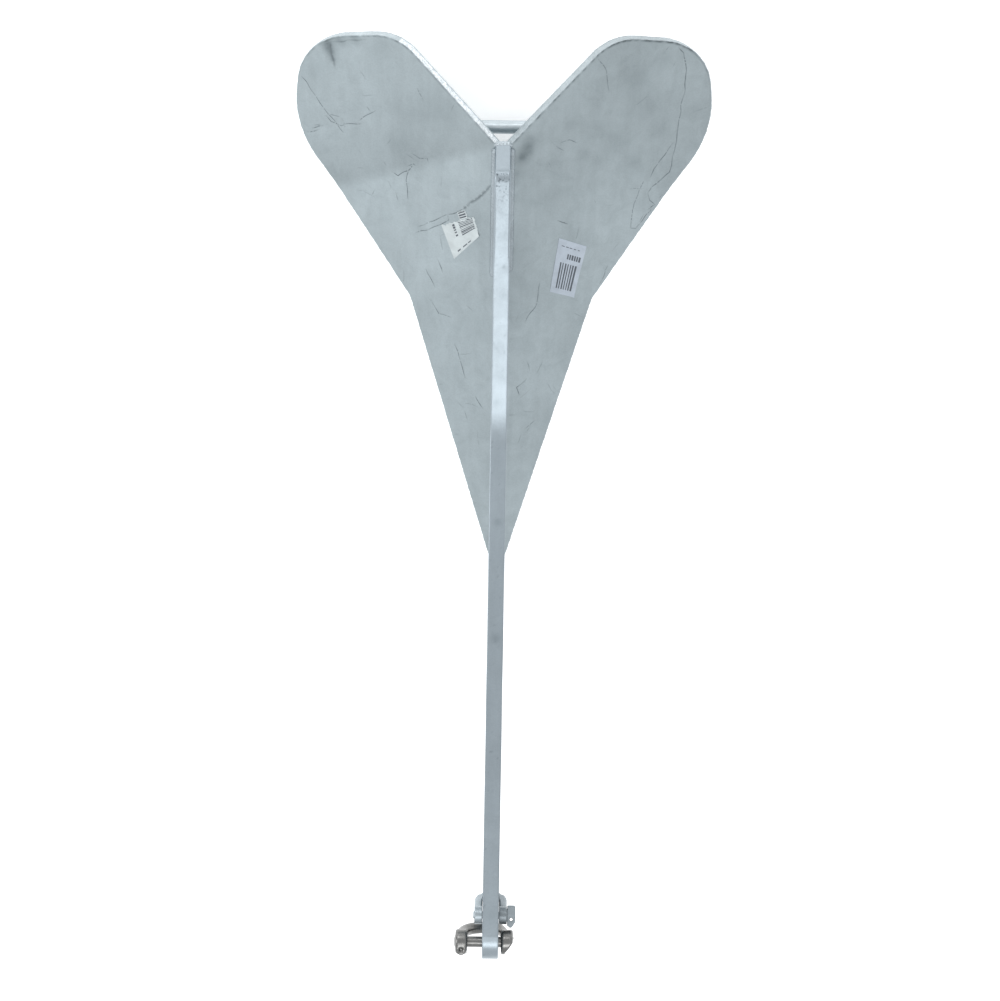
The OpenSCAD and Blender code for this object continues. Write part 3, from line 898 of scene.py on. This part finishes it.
def forged(node, name, body, material, voxel, smoothing, swell, reshape=None, shaded_side=0):
    """Piece with a node's shape, its joins blended and its corners rounded as on a forging; the
    smoothing's shrinkage is made up by swelling the surface. reshape moves each point further;
    the last argument (-1 left, 1 right) picks the half that gets painted shade, a darker tone."""
    piece = frame["nodes"][node].copy()
    piece.data = frame["nodes"][node].data.copy()
    piece.parent = None
    bpy.context.scene.collection.objects.link(piece)
    remesh = piece.modifiers.new("remesh", "REMESH")
    remesh.mode = "VOXEL"
    remesh.voxel_size = voxel * MM
    smooth = piece.modifiers.new("smooth", "SMOOTH")
    smooth.factor = 0.5
    smooth.iterations = smoothing
    inflate = piece.modifiers.new("inflate", "DISPLACE")
    inflate.strength = swell * MM
    inflate.mid_level = 0.0
    depsgraph = bpy.context.evaluated_depsgraph_get()
    mesh = bpy.data.meshes.new_from_object(piece.evaluated_get(depsgraph))
    bpy.data.objects.remove(piece)
    bm = bmesh.new()
    bm.from_mesh(mesh)
    bpy.data.meshes.remove(mesh)
    if reshape:
        for vert in bm.verts:
            reshape(vert.co)
    if shaded_side:
        # Painted shade on one half
        painted_light = bm.verts.layers.float.new("painted_light")
        for vert in bm.verts:
            vert[painted_light] = SHADED_HALF_GAIN if vert.co.x * shaded_side > 0 else 0.0
    piece_from(bm, name, body, [node], [material])


forged("end_shackle_bow", "end_bow", "end_shackle", stainless,
       voxel=0.4, smoothing=50, swell=0.5, reshape=slant_right_eye)
forged("end_shackle_pin", "end_screw_pin", "end_pin", stainless,
       voxel=0.3, smoothing=3, swell=0.05, reshape=slant_right_eye)
forged("rear_shackle_bow", "rear_bow", "rear_shackle", zinc_shackle,
       voxel=0.32, smoothing=4, swell=0.2, reshape=flatten_inner_side, shaded_side=1)
forged("rear_shackle_pin", "rear_screw_pin", "rear_pin", zinc_shackle,
       voxel=0.26, smoothing=2, swell=0.05, shaded_side=1)


# ---------------------------------------------------------------- stickers

LABEL_T = 0.25
SHEET_CELLS = 72                # Along each side of a sheet


def add_sheet(bm, side, corners, bars, torn):
    """Thin sheet through four corners of a plate's face, curled at its far corner, with plain
    bars. Each bar is (start u, end u, start v, end v) as shares of the sheet."""
    count = SHEET_CELLS
    a, b, c, d = (Vector(corner) for corner in corners)
    grid = []
    for j in range(count + 1):
        row = []
        for i in range(count + 1):
            u, v = i / count, j / count
            tear = torn * wave((u * 30, v * 30, 0), 2.2) * max(0, 1 - min(v, 1 - u) * 12)
            point = a.lerp(b, u).lerp(d.lerp(c, u), v) + Vector((tear, tear))
            curl = 0.9 * max(0.0, 1 - math.hypot(u - 1, v - 1) / 0.3) ** 2
            rise = lobe_rise(*point) + LABEL_T + curl + 0.05 * wave((*point, 0), 5)
            row.append(bm.verts.new(PLATES[side] @ Vector((point.x, point.y, rise))))
        grid.append(row)
    for j in range(count):
        for i in range(count):
            face = bm.faces.new((grid[j][i], grid[j][i + 1], grid[j + 1][i + 1], grid[j + 1][i]))
            u, v = (i + 0.5) / count, (j + 0.5) / count
            if any(u0 < u < u1 and v0 < v < v1 for u0, u1, v0, v1 in bars):
                face.material_index = 1


def sticker(name, node, side, sheet, sheets):
    """Sheets of one thickness, each (corners, bars, raggedness of its torn edges)."""
    bm = bmesh.new()
    for corners, bars, torn in sheets:
        add_sheet(bm, side, corners, bars, torn)
    thickness = bmesh.ops.extrude_face_region(bm, geom=bm.faces[:])
    down = PLATES[side].to_3x3() @ Vector((0, 0, -LABEL_T))
    verts = [item for item in thickness["geom"] if isinstance(item, bmesh.types.BMVert)]
    bmesh.ops.translate(bm, verts=verts, vec=down)
    piece_from(bm, name, "anchor", [node], [sheet, ink], smooth=False)


def bar_block(u0, u1, v0, v1, count, seed, along_v=False):
    """Bars of uneven width that fill a block, lying across the sheet or along it."""
    dice = random.Random(seed)
    start, end = (u0, u1) if along_v else (v0, v1)
    step = (end - start) / count
    slices = [(start + step * i, start + step * (i + dice.uniform(0.45, 0.8))) for i in range(count)]
    return [(a, b, v0, v1) if along_v else (u0, u1, a, b) for a, b in slices]


right_bars = bar_block(0.2, 0.86, 0.42, 0.9, 7, 4, along_v=True)
right_bars += bar_block(0.4, 0.92, 0.24, 0.34, 6, 5, along_v=True)
right_bars += bar_block(0.14, 0.88, 0.11, 0.13, 5, 6, along_v=True)
sticker("right_sticker", "label_right", 1, blue_paper,
        [([(45.2, -74.9), (67.4, -84.9), (58.2, -125.9), (39, -118.5)], right_bars, 0.0)])
left_bars = bar_block(0.5, 0.95, 0.04, 0.56, 9, 9)
left_bars += bar_block(0.3, 0.38, 0.05, 0.5, 5, 2)
left_bars += bar_block(0.2, 0.8, 0.88, 0.92, 3, 8, along_v=True)
scrap_bars = bar_block(0.05, 0.9, 0.05, 1.0, 3, 3)
sticker("left_sticker", "label_left", -1, paper,
        [([(47.7, -66.6), (22.3, -55.1), (17.7, -70.1), (37.5, -92.3)], left_bars, 1.2),
         ([(35.2, -53.8), (29.4, -50.8), (26.9, -56.6), (33.4, -59.5)], scrap_bars, 1.0)])


# ---------------------------------------------------------------- pieces that keep their CAD shape

def soften(node, material, width, angle=35):
    """Gives a CAD node its material and slightly rounded edges."""
    piece = frame["nodes"][node]
    piece.data.materials.clear()
    piece.data.materials.append(material)
    bevel = piece.modifiers.new("bevel", "BEVEL")
    bevel.width = width * MM
    bevel.segments = 3
    bevel.angle_limit = math.radians(angle)
    normals = piece.modifiers.new("normals", "WEIGHTED_NORMAL")
    normals.keep_sharp = False


soften("brace_rod", zinc_rod_highlight, 0.2)
soften("tip_ballast", zinc_plate, 0.8)


# ---------------------------------------------------------------- studio

def softbox(name, direction, distance, size, power):
    """Round area light that looks at the anchor's middle."""
    data = bpy.data.lights.new(name, "AREA")
    data.shape = "DISK"
    data.size = size
    data.energy = power
    light = bpy.data.objects.new(name, data)
    direction = direction.normalized()
    light.location = Vector((0, 0, 0.1)) + direction * distance
    light.rotation_euler = direction.to_track_quat("Z", "Y").to_euler()
    bpy.context.scene.collection.objects.link(light)


def make_studio():
    scene = bpy.context.scene
    scene.view_settings.view_transform = "Standard"
    world = bpy.data.worlds.new("studio")
    scene.world = world
    world.use_nodes = True
    background = world.node_tree.nodes["Background"]
    background.inputs["Color"].default_value = (0.97, 0.985, 1.0, 1.0)
    background.inputs["Strength"].default_value = 0.9
    tilt = math.radians(33)
    over_the_end = arm_up * math.cos(tilt) + arm_forward * math.sin(tilt)
    softbox("front_softbox", over_the_end, distance=2.6, size=1.1, power=10.5)
    softbox("left_fill", Vector((-1.0, 0.4, 0.9)), distance=2.6, size=1.2, power=14)
    softbox("rear_softbox", Vector((-0.2, 1.0, 0.45)), distance=2.4, size=0.9, power=7)

    bpy.ops.mesh.primitive_plane_add(size=12, location=(0, 0, 0))
    floor = bpy.context.object
    floor.name = "floor"
    material, _, shader = new_material("floor")
    shader.inputs["Base Color"].default_value = (0.93, 0.93, 0.93, 1.0)
    shader.inputs["Roughness"].default_value = 0.8
    shader.inputs["Emission Color"].default_value = (1.0, 1.0, 1.0, 1.0)
    shader.inputs["Emission Strength"].default_value = 0.43
    floor.data.materials.append(material)


make_studio()
